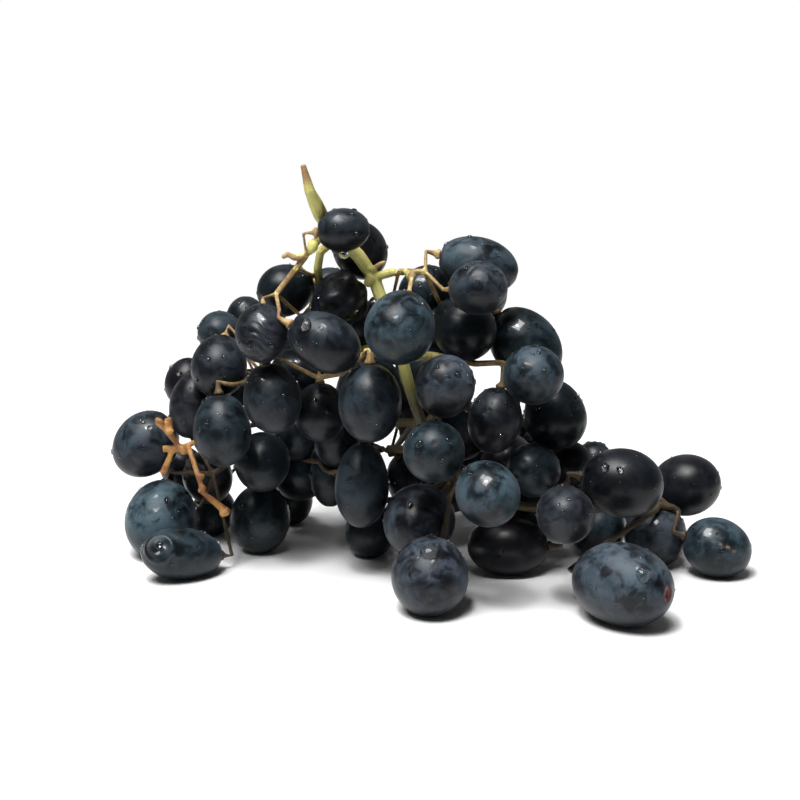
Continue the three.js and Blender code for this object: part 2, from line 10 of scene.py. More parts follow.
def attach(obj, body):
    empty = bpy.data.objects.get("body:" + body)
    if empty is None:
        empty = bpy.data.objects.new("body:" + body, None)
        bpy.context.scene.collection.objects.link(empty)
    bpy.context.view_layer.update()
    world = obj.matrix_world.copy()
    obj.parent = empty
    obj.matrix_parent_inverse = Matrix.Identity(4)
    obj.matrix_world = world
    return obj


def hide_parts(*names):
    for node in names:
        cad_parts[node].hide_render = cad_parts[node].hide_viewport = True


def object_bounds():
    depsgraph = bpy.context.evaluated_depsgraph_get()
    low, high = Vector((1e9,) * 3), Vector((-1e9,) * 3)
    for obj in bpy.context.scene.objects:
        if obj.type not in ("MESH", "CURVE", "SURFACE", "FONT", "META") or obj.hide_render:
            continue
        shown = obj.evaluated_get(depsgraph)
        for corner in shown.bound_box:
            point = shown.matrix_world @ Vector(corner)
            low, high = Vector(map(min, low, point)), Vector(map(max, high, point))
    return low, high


# The looks of a bunch of black grapes: each berry, stalk, twig and water drop, made round the solids of
# the frame. Places and sizes are in millimetres until a mesh is made.

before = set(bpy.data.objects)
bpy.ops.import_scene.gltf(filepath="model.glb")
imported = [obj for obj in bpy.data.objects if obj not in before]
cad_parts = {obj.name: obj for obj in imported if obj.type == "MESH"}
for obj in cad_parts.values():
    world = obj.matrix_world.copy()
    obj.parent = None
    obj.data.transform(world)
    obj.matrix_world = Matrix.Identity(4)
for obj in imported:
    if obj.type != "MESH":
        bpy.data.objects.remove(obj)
CAD_BOX = [list(corner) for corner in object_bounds()]

MM = 0.001
SEED = 2417

# The view: the eye looks down on the bunch, and the picture is this wide where the bunch stands.
SIGHT_ELEVATION = math.radians(15)
SIGHT_DISTANCE = 600
SIGHT_AIM = np.array([-8.37, 4.54, 52.16])
PICTURE_WIDTH = 240
PICTURE_PIXELS = 800
SENSOR = 36
CLIP_METRES = (0.01, 100)
RIGHT = np.array([1.0, 0.0, 0.0])
UPWARD = np.array([0.0, math.sin(SIGHT_ELEVATION), math.cos(SIGHT_ELEVATION)])
TOWARD = np.array([0.0, -math.cos(SIGHT_ELEVATION), math.sin(SIGHT_ELEVATION)])
EYE = SIGHT_AIM + SIGHT_DISTANCE * TOWARD
DOWN = np.array([0.0, 0.0, -1.0])


def sight_through(pixel):
    """The eye's line through a pixel, as a unit direction."""
    scale = PICTURE_WIDTH / PICTURE_PIXELS
    across, up = (pixel[0] - PICTURE_PIXELS / 2) * scale, (PICTURE_PIXELS / 2 - pixel[1]) * scale
    line = SIGHT_AIM + across * RIGHT + up * UPWARD - EYE
    return line / np.linalg.norm(line)


NEARLY_ALONG = 0.8  # unit directions with a larger product than this are too alike to be crossed


def square_to(way, first, second):
    """A unit direction square to a way, and to the first direction or else to the second."""
    aside = np.cross(way, first if abs(way @ first) < NEARLY_ALONG else second)
    return aside / np.linalg.norm(aside)


# Meshes

def put_in_scene(name, data):
    thing = bpy.data.objects.new(name, data)
    bpy.context.scene.collection.objects.link(thing)
    return thing


def mesh_from(name, places, faces):
    mesh = bpy.data.meshes.new(name)
    mesh.from_pydata(places.tolist(), [], faces)
    return mesh


def finished_piece(name, mesh, material, numbers):
    """A mesh as a smooth piece, with a number for each corner under each name."""
    for label, values in numbers.items():
        layer = mesh.attributes.new(label, "FLOAT", "POINT")
        layer.data.foreach_set("value", np.asarray(values, np.float32))
    mesh.name = name
    mesh.shade_smooth()
    mesh.materials.append(material)
    return put_in_scene(name, mesh)


def new_piece(name, places, faces, material, numbers):
    """A smooth piece from corners in millimetres."""
    return finished_piece(name, mesh_from(name, places * MM, faces), material, numbers)


def joined(shells):
    """Several (corners, faces, numbers) as one."""
    places, faces, numbers, count = [], [], {}, 0
    for points, some, values in shells:
        places.append(points)
        faces.extend(tuple(i + count for i in face) for face in some)
        for label, value in values.items():
            numbers.setdefault(label, []).append(value)
        count += len(points)
    return np.concatenate(places), faces, {label: np.concatenate(value) for label, value in numbers.items()}


def ball_grid(sides, rings):
    """Unit places on a ball, its poles at the two ends of the third axis, and the faces between them."""
    turn = 2 * np.pi * np.arange(sides) / sides
    tilt = np.pi * np.arange(1, rings) / rings
    ring = np.stack([np.outer(np.sin(tilt), np.cos(turn)), np.outer(np.sin(tilt), np.sin(turn)),
                     np.outer(np.cos(tilt), np.ones(sides))], axis=-1).reshape(-1, 3)
    places = np.concatenate([ring, [[0, 0, 1], [0, 0, -1]]])
    top, bottom = len(ring), len(ring) + 1
    faces = []
    for j in range(sides):
        k = (j + 1) % sides
        faces.append((top, j, k))
        faces.append((bottom, len(ring) - sides + k, len(ring) - sides + j))
        for i in range(rings - 2):
            row, below = i * sides, (i + 1) * sides
            faces.append((row + j, below + j, below + k, row + k))
    return places, faces


def patches(solid, joins):
    """A mesh's faces, in patches that end where an edge doesn't join its faces."""
    seen = set()
    for first in solid.faces:
        if first.index in seen:
            continue
        seen.add(first.index)
        patch = [first]
        for face in patch:
            for edge in filter(joins, face.edges):
                for other in edge.link_faces:
                    if other.index not in seen:
                        seen.add(other.index)
                        patch.append(other)
        yield patch


def hump(distance, radius):
    return np.exp(-((distance / radius) ** 2))


def wavy(places, draw, count, pitch):
    """An even, seeded unevenness over unit places."""
    total = np.zeros(len(places))
    for _ in range(count):
        way = draw.normal(size=3)
        way *= pitch * draw.uniform(0.6, 1.4) / np.linalg.norm(way)
        total += np.sin(places @ way + draw.uniform(0, 2 * np.pi))
    return total / math.sqrt(count)


# Reading the berries from the solids

WELD = 1e-3
CREASE = -0.02  # radians: the edges between a berry and its stalk fold in by more than this
FIT_TRIES = 1500
FIT_CORNERS = 9
FIT_CLOSENESS = 0.003
LEAST_CORNERS = 16
LARGE_FACE = 0.4  # of a patch's largest faces: smaller ones belong to a stalk
LARGEST_RANK = 0.95  # the share of a patch's faces that are smaller than its largest ones
TABLE_SKIN = 0.02
BERRY_HALF_SIZES = (4, 20)
UNIT = 10  # corners are fitted in units of about a berry's half size
CUTTER_GRID = (24, 16)
CUTTER_SIZE = 1.02  # a berry is cut off with a little more than its own size, so that no facet is left
STALK_END = np.array([0.0, 0.0, -1.0])  # as a unit place on a berry


class Berry:
    """A spheroid on its stalk, with the axis pointing to its free end."""

    def __init__(self, centre, axis, long, wide):
        self.centre, self.long, self.wide = centre, long, wide
        self.turn_to(axis)
        self.marks = []
        self.waxiness_and_light = None

    def turn_to(self, axis):
        self.axis = axis / np.linalg.norm(axis)
        self.aside = square_to(self.axis, UPWARD, RIGHT)
        self.third = np.cross(self.axis, self.aside)

    def unit_place(self, points):
        """Points as seen from the berry, where its skin is one unit from the middle."""
        offset = points - self.centre
        return np.stack([offset @ self.aside / self.wide, offset @ self.third / self.wide,
                         offset @ self.axis / self.long], axis=-1)

    def from_unit(self, places):
        return (self.centre + places[..., :1] * self.wide * self.aside
                + places[..., 1:2] * self.wide * self.third + places[..., 2:] * self.long * self.axis)

    def way_out(self, places):
        """The skin's outward direction at unit places."""
        out = (places[..., :1] / self.wide * self.aside + places[..., 1:2] / self.wide * self.third
               + places[..., 2:] / self.long * self.axis)
        return out / np.linalg.norm(out, axis=-1, keepdims=True)

    def hit(self, line):
        """How far along the eye's line the berry's skin is met, or None."""
        start = self.unit_place(EYE)
        step = self.unit_place(EYE + line) - start
        a, b, c = step @ step, start @ step, start @ start - 1
        root = b * b - a * c
        return None if root < 0 else (-b - math.sqrt(root)) / a


def first_berry(berries, pixel):
    """The first berry that the eye meets at a pixel, and the place on its skin."""
    line = sight_through(pixel)
    met = [(far, berry) for berry in berries if (far := berry.hit(line)) is not None]
    far, berry = min(met, key=lambda pair: pair[0])
    return berry, EYE + far * line


def welded(node):
    """A node's mesh with its shared corners joined, in millimetres."""
    solid = bmesh.new()
    solid.from_mesh(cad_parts[node].data)
    bmesh.ops.scale(solid, vec=(1 / MM,) * 3, verts=solid.verts)
    bmesh.ops.remove_doubles(solid, verts=solid.verts, dist=WELD)
    bmesh.ops.recalc_face_normals(solid, faces=solid.faces)
    solid.verts.ensure_lookup_table()
    solid.faces.ensure_lookup_table()
    solid.faces.index_update()
    return solid


def is_open(edge):
    """True where an edge bulges out, or is flat, so that both its faces may be of one berry."""
    return len(edge.link_faces) == 2 and edge.calc_face_angle_signed() > CREASE


def large_corners(patch):
    """The corners of a patch's large faces that are clear of the table."""
    areas = np.array([face.calc_area() for face in patch])
    large = LARGE_FACE * np.quantile(areas, LARGEST_RANK)
    corners = {v.index: v.co for face, area in zip(patch, areas) if area > large for v in face.verts}
    return np.array([co for co in corners.values() if co.z > TABLE_SKIN])


def quadric_terms(corners):
    x, y, z = corners.T
    return np.stack([x * x, y * y, z * z, 2 * x * y, 2 * x * z, 2 * y * z, 2 * x, 2 * y, 2 * z], axis=1)


def spheroid_on(corners):
    """The spheroid that most corners lie on, as centre, long axis, half length and half width, or None."""
    draw = np.random.default_rng(SEED)
    middle = corners.mean(axis=0)
    terms = quadric_terms((corners - middle) / UNIT)
    few = draw.integers(len(corners), size=(FIT_TRIES, FIT_CORNERS))
    forms = np.linalg.pinv(terms[few]).sum(axis=2)
    near = np.abs(forms @ terms.T - 1) < FIT_CLOSENESS
    best = near[near.sum(axis=1).argmax()]
    if best.sum() < LEAST_CORNERS:
        return None
    form = np.linalg.pinv(terms[best]).sum(axis=1)
    square = np.array([[form[0], form[3], form[4]], [form[3], form[1], form[5]], [form[4], form[5], form[2]]])
    inner = -np.linalg.solve(square, form[6:])
    curves, axes = np.linalg.eigh(square / (1 + inner @ square @ inner))
    if curves.min() <= 0:
        return None
    halves = UNIT / np.sqrt(curves)
    if halves.max() > BERRY_HALF_SIZES[1] or halves.min() < BERRY_HALF_SIZES[0]:
        return None
    return middle + UNIT * inner, axes[:, 0], halves[0], (halves[1] + halves[2]) / 2


def without_berries(solid, berries):
    """What is left of a spray's solid when its berries are cut off: its branch and stalks."""
    branch = put_in_scene("spare", bpy.data.meshes.new("spare"))
    solid.to_mesh(branch.data)
    spares = [branch]
    places, faces = ball_grid(*CUTTER_GRID)
    for berry in berries:
        cutter = mesh_from("spare", berry.from_unit(CUTTER_SIZE * places), faces)
        spares.append(put_in_scene("spare", cutter))
        cut = branch.modifiers.new("cut", "BOOLEAN")
        cut.operation, cut.solver, cut.object = "DIFFERENCE", "MANIFOLD", spares[-1]
    left = bmesh.new()
    left.from_object(branch, bpy.context.evaluated_depsgraph_get())
    for spare in spares:
        bpy.data.meshes.remove(spare.data)
    return left


def read_spray(node):
    """A spray's berries, each turned to its stalk, and the solid of its branch and stalks."""
    solid = welded(node)
    berries = []
    for patch in patches(solid, is_open):
        corners = large_corners(patch)
        found = spheroid_on(corners) if len(corners) >= LEAST_CORNERS else None
        if found:
            berries.append(Berry(*found))
    stalks = without_berries(solid, berries)
    corners = np.array([v.co for v in stalks.verts])
    for berry in berries:
        tips = [berry.centre + way * berry.long * berry.axis for way in (1, -1)]
        free, held = [np.linalg.norm(corners - tip, axis=1).min() for tip in tips]
        if free < held:
            berry.turn_to(-berry.axis)
    return berries, stalks


# Marks on single berries. Each gives how far the skin is pushed out, and how much of a wound or scab shows.

class Mark:
    """A place on a berry's skin, with millimetres across and up from it as the eye sees them."""
    far_side = -6  # skin that lies further back than this is on the berry's other side

    def __init__(self, berry, place):
        self.place = place
        self.out = berry.way_out(berry.unit_place(place))
        self.across = RIGHT - self.out * (RIGHT @ self.out)
        self.across /= np.linalg.norm(self.across)
        self.up = np.cross(self.out, self.across)

    def around(self, points):
        offset = points - self.place
        return offset @ self.across, offset @ self.up, offset @ self.out > self.far_side


class Folds(Mark):
    """Short folds in a skin that has begun to shrivel."""
    depth, pitch, lean = 0.55, 2.6, 0.5
    sway, sway_rate = 0.7, 0.9
    sunk = 0.75  # the share of a fold that lies below the skin around it
    reach = (4.2, 4.6)

    def press(self, points):
        across, up, facing = self.around(points)
        bent = up + self.lean * across + self.sway * np.sin(across * self.sway_rate)
        window = hump(across, self.reach[0]) * hump(up, self.reach[1]) * facing
        ridges = np.abs(np.sin(np.pi * bent / self.pitch))
        return self.depth * window * (ridges - self.sunk)


class LongFolds(Folds):
    """Folds that run along a berry's length."""
    depth, pitch, lean = 0.42, 3.2, -0.25
    reach = (8.0, 5.0)


class Swirl(Mark):
    """A stem end turned to the front, sunk in a ring of skin."""
    ring, ring_height, ring_width = 3.9, 0.5, 0.75
    sink, sink_depth = 2.0, 0.75
    curl_height, curl_rate, curl_reach = 0.22, 1.6, 2.6

    def press(self, points):
        across, up, facing = self.around(points)
        far = np.hypot(across, up)
        twist = np.arctan2(up, across)
        curl = self.curl_height * np.sin(2 * twist + far * self.curl_rate) * hump(far, self.curl_reach)
        ring = self.ring_height * hump(far - self.ring, self.ring_width)
        return (ring - self.sink_depth * hump(far, self.sink) + curl) * facing


class Wound(Mark):
    """The torn red place where something has broken the skin."""
    half_across, half_up = 1.15, 1.9
    depth, reach = 0.6, 1.35

    def press(self, points):
        return -self.depth * self.wound(points)

    def wound(self, points):
        across, up, facing = self.around(points)
        far = np.hypot(across / self.half_across, up / self.half_up)
        return np.clip(self.reach - far, 0, 1) * facing


class Scab(Mark):
    """A dry scratch, healed over in short brown runs."""
    half_length, half_width, slope = 4.4, 0.36, -0.45
    height = 0.1
    sway, sway_rate = 0.25, 2.1
    run_rates = (2.9, 6.7)

    def press(self, points):
        return self.height * self.scab(points)

    def scab(self, points):
        across, up, facing = self.around(points)
        off = up - self.slope * across - self.sway * np.sin(across * self.sway_rate)
        long_run, short_run = (np.sin(across * rate) for rate in self.run_rates)
        runs = np.clip(0.5 + long_run + 0.5 * short_run, 0, 1)
        return hump(off, self.half_width) * hump(across / self.half_length, 1) ** 2 * runs * facing


class Lumps(Mark):
    """A skin gone slack over the flesh, in dents a few millimetres wide."""
    depth, pitch, waves = 0.8, 8.5, 7

    def press(self, points):
        draw = np.random.default_rng(SEED)
        return self.depth * wavy((points - self.place) / UNIT, draw, self.waves, self.pitch)


# Where these marks are seen, in pixels of the picture.
MARKS = [
    (Folds, (262, 338)),
    (LongFolds, (482, 262)),
    (Lumps, (341, 300)),
    (Swirl, (159, 548)),
    (Wound, (668, 594)),
    (Scab, (726, 547)),
]

# How much of its waxy bloom a berry has kept, in four steps from rubbed bare to full, by pixels on the berries;
# partly painted light, as some berries that lie in shade are set a step higher so that they come out lighter.
WAXINESS_AND_LIGHT = {
    0.04: [(463, 335), (262, 470), (555, 415), (508, 546), (688, 480), (622, 490)],
    0.34: [(362, 490), (260, 525), (495, 425), (225, 440), (272, 400), (219, 366), (565, 514),
           (190, 555), (434, 455), (324, 345), (527, 330), (343, 230), (262, 335), (370, 403)],
    0.64: [(147, 445), (717, 548), (478, 288)],
    0.94: [(410, 525), (445, 387), (533, 375), (487, 493), (430, 585), (400, 327), (163, 515),
           (655, 535), (610, 585), (478, 253)],
}


def put_marks(berries):
    for kind, pixel in MARKS:
        berry, place = first_berry(berries, pixel)
        berry.marks.append(kind(berry, place))
    for waxiness_and_light, pixels in WAXINESS_AND_LIGHT.items():
        for pixel in pixels:
            first_berry(berries, pixel)[0].waxiness_and_light = waxiness_and_light


# Berry skins

PLAIN_GRID = (56, 40)  # sides and rings of a berry
MARKED_GRID = (120, 84)  # and of one with marks, which need finer faces
EGG_SHARE = 0.05  # how much fuller a berry's free end is, as a share of its half width
EGG_RANGE = (-0.3, 1)
LUMP_SHARE = 0.006  # uneven growth, as a share of a berry's half width
LUMP_WAVES, LUMP_PITCH = 6, 2.6
STEM_DIMPLE_DEPTH, STEM_DIMPLE_RADIUS = 0.7, 2.0
SCAR_DEPTH, SCAR_RADIUS = 0.25, 0.7
SCAR_COLOUR_SHARE = 0.8  # of the scar's radius
OTHER_WAXINESS = (0.05, 0.4)  # of the berries that no step of bloom is set for
PAINTED_SIDE_SHADE, PAINTED_TOP_LIGHT = 0.55, 0.6  # painted shade: the share of the bloom kept on a berry's side, and what it gains towards the top, so the top is painted lighter
PAINTED_UNDERSIDE_SHADE = 0.15  # the least share of the bloom, where a berry faces down: painted shade on its underside


def berry_skin(berry, draw):
    """A berry's corners, faces and numbers: dimpled at its stalk, with a scar at its free end."""
    places, faces = ball_grid(*(MARKED_GRID if berry.marks else PLAIN_GRID))
    along = places[:, 2]
    egg = draw.uniform(*EGG_RANGE) * EGG_SHARE
    fuller = 1 + egg * along * (1 - along ** 2) * 2
    points = berry.from_unit(places * np.stack([fuller, fuller, np.ones(len(along))], axis=1))
    from_stalk = np.arccos(np.clip(-along, -1, 1)) * berry.wide
    from_scar = np.arccos(np.clip(along, -1, 1)) * berry.wide
    push = LUMP_SHARE * berry.wide * wavy(places, draw, LUMP_WAVES, LUMP_PITCH)
    push -= STEM_DIMPLE_DEPTH * hump(from_stalk, STEM_DIMPLE_RADIUS)
    push -= SCAR_DEPTH * hump(from_scar, SCAR_RADIUS)
    waxiness_and_light = draw.uniform(*OTHER_WAXINESS) if berry.waxiness_and_light is None else berry.waxiness_and_light
    out = berry.way_out(places)
    numbers = {
        "tint": np.full(len(places), draw.uniform()),
        # painted shade: the bloom is scaled by how far the skin faces up, so a berry's top is painted lighter
        # and its underside darker
        "frost": waxiness_and_light * np.clip(PAINTED_SIDE_SHADE + PAINTED_TOP_LIGHT * out[:, 2], PAINTED_UNDERSIDE_SHADE, 1),
        "upper": np.clip(2 * out[:, 2], 0, 1),
        "scar": hump(from_scar, SCAR_COLOUR_SHARE * SCAR_RADIUS),
        "wound": np.zeros(len(places)),
        "scab": np.zeros(len(places)),
    }
    for mark in berry.marks:
        push += mark.press(points)
        for label in ("wound", "scab"):
            if hasattr(mark, label):
                numbers[label] = getattr(mark, label)(points)
    points = points + push[:, None] * out
    points[:, 2] = np.maximum(points[:, 2], 0)
    return points, faces, numbers


def make_berries(node, berries, material):
    draw = np.random.default_rng([SEED, sum(map(ord, node))])
    places, faces, numbers = joined([berry_skin(berry, draw) for berry in berries])
    piece = new_piece(node.replace("spray", "berries"), places, faces, material, numbers)
    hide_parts(node)
    return piece


# Stems

STEM_SWELL = 0.34  # stems are swollen by this before they are fused, which closes the gaps between solids
STEM_VOXEL = 0.28
STEM_EVENING, EVENING_ROUNDS = 0.5, 16
STEM_SLIM = 0.08  # and slimmed by this in the end, as the evening out has slimmed them too
STEM_FACES_KEPT = 0.33
CRUMB_FACES = 120  # a loose bit with fewer faces than this is a crumb
PAINTED_SHADE_HEIGHT = (54, 68)  # low stems inside the heap are darkened to near black: painted shade
BARED_UP_TO = -52  # twigs of the rachis as far left as this have lost their berries, and are tan
RACHIS_REACH = 2.0
RAY_START_METRES = 1e-5  # how far below the bark a thickness is measured from

COLLAR_RADIUS = 1.5
COLLAR_REACH = 3.2  # how far its colour reaches along the stalk
COLLAR_SINK = 0.1
CORE_RADIUS, CORE_RISE = 0.8, 0.45
COLLAR_WARTS = 7
WART_RADIUS, WART_SIZES = 0.55, (0.8, 1.15)
WART_SPREAD, WART_RISE = 0.3, 0.3
BALL_GRID = (8, 6)

# Broken stubs and swellings that are seen on the stems: the pixels along each, and its radius at both ends.
STUBS = [
    ([(302, 256), (294, 258), (288, 254), (283, 257)], 0.75, 0.5),
    ([(313, 245), (312, 249)], 1.5, 1.3),
    ([(372, 270), (380, 264), (385, 262)], 0.7, 0.4),
    ([(370, 279), (368, 283)], 1.3, 1.2),
    ([(406, 271), (409, 278), (412, 285)], 0.7, 0.45),
    ([(182, 449), (184, 452)], 1.0, 0.9),
    ([(189, 462), (190, 465)], 1.0, 0.9),
    ([(226, 511), (222, 514)], 1.15, 0.9),
    ([(200, 477), (203, 476)], 0.85, 0.6),
    ([(203, 488), (200, 491)], 0.9, 0.6),
    ([(210, 501), (214, 499)], 0.9, 0.6),
    ([(168, 432), (172, 431)], 0.9, 0.55),
    ([(161, 422), (157, 420)], 0.8, 0.7),
]
STUB_STEP = 0.3
STUB_REACH = 1.5  # a stub stands on the nearest stem that comes this close to its first pixel


def collar(berry, draw):
    """The warty swelling of a stalk where it holds its berry, as balls: centre and radius."""
    seat = berry.from_unit(STALK_END) + COLLAR_SINK * berry.axis
    balls = [(seat - CORE_RISE * berry.axis, CORE_RADIUS)]
    for i in range(COLLAR_WARTS):
        turn = 2 * math.pi * (i + draw.uniform(-WART_SPREAD, WART_SPREAD)) / COLLAR_WARTS
        side = math.cos(turn) * berry.aside + math.sin(turn) * berry.third
        place = seat + side * (COLLAR_RADIUS - WART_RADIUS) - WART_RISE * draw.uniform() * berry.axis
        balls.append((place, WART_RADIUS * draw.uniform(*WART_SIZES)))
    return balls


def stub_balls(places):
    """Balls along each stub, at the depth of the stem that it stands on: places are the stems' corners."""
    far = np.linalg.norm(places - EYE, axis=1)
    ways = (places - EYE) / far[:, None]
    balls = []
    for pixels, first, last in STUBS:
        off = np.linalg.norm(ways - sight_through(pixels[0]), axis=1) * SIGHT_DISTANCE
        depth = far[off < off.min() + STUB_REACH].min()
        bends = np.array([EYE + depth * sight_through(pixel) for pixel in pixels])
        along = np.concatenate([[0], np.cumsum(np.linalg.norm(np.diff(bends, axis=0), axis=1))])
        for gone in np.arange(0, along[-1], STUB_STEP):
            place = np.array([np.interp(gone, along, bends[:, k]) for k in range(3)])
            balls.append((place, first + (last - first) * gone / along[-1]))
    return balls


def ball_mesh(balls):
    """Balls as one spare mesh, in millimetres."""
    places, faces = ball_grid(*BALL_GRID)
    corners, shells, _numbers = joined([(centre + radius * places, faces, {}) for centre, radius in balls])
    return mesh_from("spare", corners, shells)


def take_off_crumbs(mesh):
    """Takes off the small loose bits that are left where stems were fused."""
    whole = bmesh.new()
    whole.from_mesh(mesh)
    islands = patches(whole, lambda edge: edge.is_manifold)
    crumbs = [face for island in islands if len(island) < CRUMB_FACES for face in island]
    bmesh.ops.delete(whole, geom=crumbs, context="FACES")
    whole.to_mesh(mesh)
    whole.free()


def fused(meshes):
    """Spare meshes in millimetres, grown together into one rounded mesh in metres."""
    whole = bmesh.new()
    for mesh in meshes:
        whole.from_mesh(mesh)
        bpy.data.meshes.remove(mesh)
    bmesh.ops.scale(whole, vec=(MM,) * 3, verts=whole.verts)
    rough = put_in_scene("spare", bpy.data.meshes.new("spare"))
    whole.to_mesh(rough.data)
    whole.free()
    swell = rough.modifiers.new("swell", "DISPLACE")
    swell.strength, swell.mid_level = STEM_SWELL * MM, 0
    fuse = rough.modifiers.new("fuse", "REMESH")
    fuse.mode, fuse.voxel_size = "VOXEL", STEM_VOXEL * MM
    even = rough.modifiers.new("even", "SMOOTH")
    even.factor, even.iterations = STEM_EVENING, EVENING_ROUNDS
    slim = rough.modifiers.new("slim", "DISPLACE")
    slim.strength, slim.mid_level = -STEM_SLIM * MM, 0
    lighten = rough.modifiers.new("lighten", "DECIMATE")
    lighten.ratio = STEM_FACES_KEPT
    mesh = bpy.data.meshes.new_from_object(rough.evaluated_get(bpy.context.evaluated_depsgraph_get()))
    bpy.data.meshes.remove(rough.data)
    take_off_crumbs(mesh)
    return mesh


def places_and_thickness(mesh):
    """Each corner's place, and how far the other side of the stem is behind it."""
    places = np.empty(3 * len(mesh.vertices))
    normals = np.empty(3 * len(mesh.vertices))
    mesh.vertices.foreach_get("co", places)
    mesh.vertices.foreach_get("normal", normals)
    places, normals = places.reshape(-1, 3), normals.reshape(-1, 3)
    tree = BVHTree.FromPolygons(places.tolist(), [tuple(p.vertices) for p in mesh.polygons])
    far = np.zeros(len(places))
    for i, (place, normal) in enumerate(zip(places, normals)):
        hit = tree.ray_cast(Vector(place - RAY_START_METRES * normal), Vector(-normal))
        far[i] = 0 if hit[3] is None else hit[3]
    return places / MM, far / MM


def stem_numbers(mesh, rachis, berries):
    """What colours a stem at each corner: thickness, height, painted shade low in the heap, lost berries, and
    how near a collar is.
    """
    places, far = places_and_thickness(mesh)
    low = np.clip((PAINTED_SHADE_HEIGHT[1] - places[:, 2]) / (PAINTED_SHADE_HEIGHT[1] - PAINTED_SHADE_HEIGHT[0]), 0, 1)
    tree = BVHTree.FromBMesh(rachis)
    bared = np.array([tree.find_nearest(Vector(place), RACHIS_REACH)[3] is not None for place in places])
    bared &= places[:, 0] < BARED_UP_TO
    seats = np.array([berry.centre - berry.long * berry.axis for berry in berries])
    off = np.sqrt(np.min([((places - seat) ** 2).sum(axis=1) for seat in seats], axis=0))
    return {
        "thick": far,
        "height": places[:, 2],
        # painted shade low in the heap, kept off the bared twigs
        "painted_inner_shade": low * ~bared,
        "bared": low * bared,
        "collar": np.clip(COLLAR_REACH - off, 0, 1),
    }


def make_stems(rachis, branches, berries, material):
    draw = np.random.default_rng(SEED)
    solids = [rachis] + branches
    corners = np.array([v.co for solid in solids for v in solid.verts])
    meshes = [ball_mesh(stub_balls(corners) + [ball for berry in berries for ball in collar(berry, draw)])]
    for solid in solids:
        meshes.append(bpy.data.meshes.new("spare"))
        solid.to_mesh(meshes[-1])
    mesh = fused(meshes)
    piece = finished_piece("stem_and_stalks", mesh, material, stem_numbers(mesh, rachis, berries))
    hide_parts("rachis")
    return piece


# Water drops

DROPS_ON_A_BERRY = 38
DROP_RADIUS = (0.28, 1.0)
DROP_HEIGHT, DROP_SINK = 0.62, 0.12  # of its radius
DROP_GRID = (12, 5)
RIM_WAVES = {2: 0.12, 3: 0.06}  # how uneven a drop's rim is, by waves around it
RIM_TURN = 6  # radians
STEEPEST = -0.3  # drops run off where the skin faces down by more than this
NEAR_POLE = 0.93  # and none stand this near a berry's stalk or scar
HANG_SHARE = 0.6  # of its radius, how far a hanging drop's middle is below the skin

# Larger drops, where they are seen in the picture: pixel and radius.
LARGE_DROPS = [
    ((306, 325), 1.9), ((433, 297), 1.7), ((643, 575), 2.3), ((430, 551), 3.1), ((242, 506), 1.5),
    ((605, 468), 1.5), ((470, 379), 1.9), ((471, 372), 1.1), ((661, 531), 0.9), ((167, 500), 1.1),
    ((150, 428), 1.0), ((341, 314), 1.4), ((349, 318), 1.0), ((478, 402), 1.2), ((507, 404), 1.0),
    ((500, 392), 0.8), ((588, 470), 1.0), ((620, 470), 1.2), ((419, 444), 1.3), ((449, 441), 1.2),
    ((410, 505), 1.2), ((470, 474), 1.2), ((516, 478), 1.1), ((140, 515), 0.9), ((180, 513), 0.9),
    ((224, 357), 0.9), ((330, 276), 0.8), ((462, 351), 0.9), ((545, 371), 0.7),
]

# Drops that hang from a berry: a pixel near its lower edge, and radius.
HANGING_DROPS = [((344, 252), 1.8)]


def drop_shell(place, out, radius, draw):
    """A drop standing on a skin: a low dome with a slightly uneven rim."""
    aside = square_to(out, RIGHT, UPWARD)
    third = np.cross(out, aside)
    dome, faces = ball_grid(*DROP_GRID)
    turn = np.arctan2(dome[:, 1], dome[:, 0])
    rim = np.ones(len(dome))
    for waves, share in RIM_WAVES.items():
        rim = rim + share * np.sin(waves * turn + draw.uniform(0, RIM_TURN))
    points = (place + (dome[:, :1] * rim[:, None] * aside + dome[:, 1:2] * rim[:, None] * third
                       + dome[:, 2:] * DROP_HEIGHT * out) * radius - DROP_SINK * radius * out)
    points[:, 2] = np.maximum(points[:, 2], 0)
    return points, faces, {}


def make_drops(berries, material):
    draw = np.random.default_rng(SEED)
    low, high = DROP_RADIUS
    shells = []
    for berry in berries:
        for _ in range(draw.poisson(DROPS_ON_A_BERRY)):
            way = draw.normal(size=3)
            way /= np.linalg.norm(way)
            out = berry.way_out(way)
            radius = low + (high - low) * draw.uniform() ** 2
            if out[2] < STEEPEST or abs(way[2]) > NEAR_POLE:
                continue
            shells.append(drop_shell(berry.from_unit(way), out, radius, draw))
    for pixel, radius in LARGE_DROPS:
        berry, place = first_berry(berries, pixel)
        shells.append(drop_shell(place, berry.way_out(berry.unit_place(place)), radius, draw))
    for pixel, radius in HANGING_DROPS:
        _berry, place = first_berry(berries, pixel)
        shells.append(drop_shell(place + HANG_SHARE * radius * DOWN, DOWN, radius, draw))
    return new_piece("water_drops", *joined(shells)[:2], material, {})


# Materials

